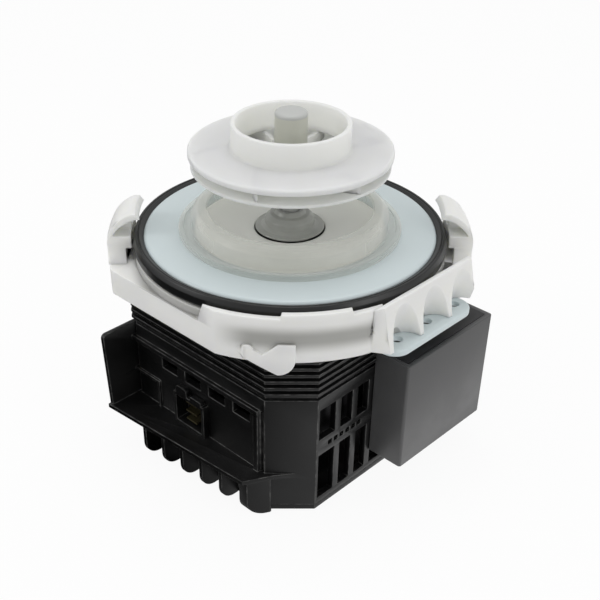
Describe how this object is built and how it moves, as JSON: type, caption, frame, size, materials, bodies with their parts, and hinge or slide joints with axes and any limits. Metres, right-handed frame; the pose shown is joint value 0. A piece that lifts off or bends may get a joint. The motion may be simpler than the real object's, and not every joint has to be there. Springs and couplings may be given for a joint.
{
  "type": "dishwasher pump motor",
  "caption": "Upright dishwasher pump motor: black finned casing with connector bay and capacitor, white frame with claws, sealed front plate and a closed impeller on the shaft.",
  "frame": {"origin": "centre of the flat base face, on the shaft axis", "axes": "+Z along the shaft from the base to the impeller, -Y out of the connector bay, +X towards the capacitor and the side bracket"},
  "size_m": [0.1335, 0.1302, 0.142],
  "materials": {
    "black_plastic": "moulded, fine satin texture",
    "capacitor_plastic": "moulded, satin",
    "potting_resin": "cast, dull",
    "film_winding": "wound film",
    "white_plastic": "moulded, smooth, slightly waxy",
    "blue_grey_plastic": "moulded, smooth satin",
    "impeller_plastic": "moulded, smooth, slightly waxy",
    "hub_grey": "moulded, smooth",
    "cap_grey": "moulded, smooth",
    "black_rubber": "moulded, dull sheen",
    "clear_plastic": "clear, slightly milky, polished",
    "brass": "stamped",
    "lamination_steel": "stacked sheets",
    "bobbin_plastic": "moulded",
    "copper_wire": "enamelled wire",
    "bearing_steel": "ground and polished",
    "screw_steel": "zinc plated",
    "ceramic": "lapped",
    "shaft_steel": "ground",
    "aluminium": "die cast",
    "carbon": "lapped graphite",
    "seal_grey": "moulded, wet-looking sheen"
  },
  "bodies": {
    "motor": {"base_cover": "black_plastic", "lower_casing": "black_plastic", "upper_casing": "black_plastic", "connector_socket": "black_plastic", "capacitor_case": "capacitor_plastic", "capacitor_lid": "potting_resin", "capacitor_element": "film_winding", "mounting_frame": "white_plastic", "side_bracket": "blue_grey_plastic", "front_plate": "blue_grey_plastic", "sump_gasket": "black_rubber", "guide_ring": "clear_plastic", "connector_contacts": "brass", "stator_core": "lamination_steel", "main_bobbins": "bobbin_plastic", "auxiliary_bobbins": "bobbin_plastic", "main_coils": "copper_wire", "auxiliary_coils": "copper_wire", "thermal_cutout": "bobbin_plastic", "lower_bearing_outer_ring": "bearing_steel", "lower_bearing_balls": "bearing_steel", "upper_bearing_outer_ring": "bearing_steel", "upper_bearing_balls": "bearing_steel", "casing_screws": "screw_steel", "frame_screws": "screw_steel", "seal_seat": "ceramic", "seat_cup": "black_rubber"},
    "rotor": {"shaft": "shaft_steel", "rotor_core": "lamination_steel", "rotor_end_rings": "aluminium", "lower_bearing_inner_ring": "bearing_steel", "upper_bearing_inner_ring": "bearing_steel", "shaft_clips": "screw_steel", "carbon_ring": "carbon", "seal_spring": "screw_steel", "seal_bell": "seal_grey", "impeller_base": "impeller_plastic", "impeller_shroud": "impeller_plastic", "impeller_hub": "hub_grey", "hub_cap": "cap_grey"}
  },
  "joints": [
    {"name": "rotor_spin", "type": "hinge", "parent": "motor", "child": "rotor", "pos_m": [0, 0, 0.06], "axis": [0, 0, 1], "continuous": true}
  ]
}
